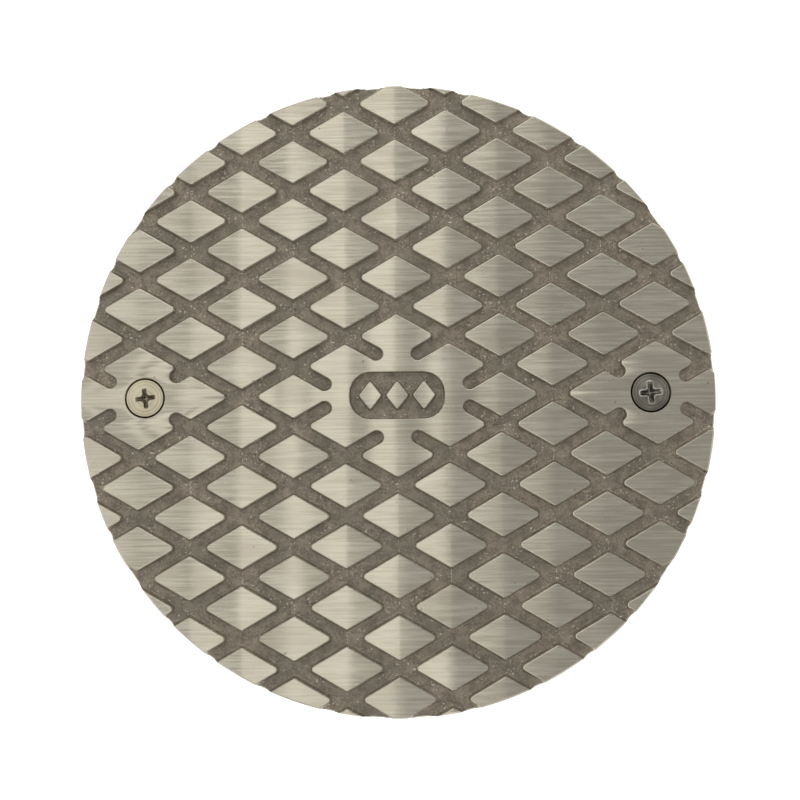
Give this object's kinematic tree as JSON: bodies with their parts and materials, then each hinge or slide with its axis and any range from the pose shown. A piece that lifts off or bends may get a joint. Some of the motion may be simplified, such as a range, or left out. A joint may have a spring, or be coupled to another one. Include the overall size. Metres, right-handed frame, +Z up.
{
  "type": "floor cleanout",
  "caption": "Round adjustable floor cleanout with a diamond-tread cover screwed to a threaded frame, over a cast body closed by a screw plug.",
  "frame": {"origin": "centre of the outlet's end face, at the bottom of the part", "axes": "+Z up from the outlet to the finished floor, +X along the line through the two cover screws"},
  "size_m": [0.1556, 0.1556, 0.1004],
  "materials": {
    "cover_bronze": "nickel bronze, tread tops ground and brushed, grooves as cast",
    "screw_steel": "plain stainless steel",
    "seal_rubber": "black neoprene",
    "gasket_rubber": "black neoprene",
    "frame_bronze": "nickel bronze, as cast with turned faces",
    "body_iron": "sand-cast grey iron, dark dipped coating",
    "plug_brass": "cast yellow brass, turned thread"
  },
  "bodies": {
    "body": {"body_housing": "body_iron"},
    "frame_thread": {"frame_gasket": "gasket_rubber"},
    "frame": {"top_frame": "frame_bronze", "cover_gasket": "gasket_rubber"},
    "cover": {"cover_plate": "cover_bronze"},
    "left_screw_thread": {"screw_seal_left": "seal_rubber"},
    "left_screw": {"cover_screw_left": "screw_steel"},
    "right_screw_thread": {"screw_seal_right": "seal_rubber"},
    "right_screw": {"cover_screw_right": "screw_steel"},
    "plug_thread": {"plug_gasket": "gasket_rubber"},
    "plug": {"closure_plug": "plug_brass"}
  },
  "joints": [
    {"name": "frame_rise", "type": "slide", "parent": "body", "child": "frame_thread", "axis": [0, 0, 1], "range_m": [0, 0.016]},
    {"name": "frame_turn", "type": "hinge", "parent": "frame_thread", "child": "frame", "pos_m": [0, 0, 0.061], "axis": [0, 0, 1], "range_deg": [0, 1800]},
    {"name": "cover_lift", "type": "slide", "parent": "frame", "child": "cover", "axis": [0, 0, 1], "range_m": [0, 0.05]},
    {"name": "left_screw_rise", "type": "slide", "parent": "cover", "child": "left_screw_thread", "axis": [0, 0, 1], "range_m": [0, 0.0079]},
    {"name": "left_screw_turn", "type": "hinge", "parent": "left_screw_thread", "child": "left_screw", "pos_m": [-0.062, 0, 0.09], "axis": [0, 0, 1], "range_deg": [0, 2700]},
    {"name": "right_screw_rise", "type": "slide", "parent": "cover", "child": "right_screw_thread", "axis": [0, 0, 1], "range_m": [0, 0.0079]},
    {"name": "right_screw_turn", "type": "hinge", "parent": "right_screw_thread", "child": "right_screw", "pos_m": [0.062, 0, 0.09], "axis": [0, 0, 1], "range_deg": [0, 2700]},
    {"name": "plug_rise", "type": "slide", "parent": "body", "child": "plug_thread", "axis": [0, 0, 1], "range_m": [0, 0.0145]},
    {"name": "plug_turn", "type": "hinge", "parent": "plug_thread", "child": "plug", "pos_m": [0, 0, 0.0365], "axis": [0, 0, 1], "range_deg": [0, 1620]}
  ],
  "couplings": [
    {"joint": "frame_rise", "follows": "frame_turn", "m_per_rad": 0.00050532},
    {"joint": "left_screw_turn", "follows": "left_screw_rise", "rad_per_m": 5936.8},
    {"joint": "right_screw_turn", "follows": "right_screw_rise", "rad_per_m": 5936.8},
    {"joint": "plug_rise", "follows": "plug_turn", "m_per_rad": 0.00050532}
  ]
}
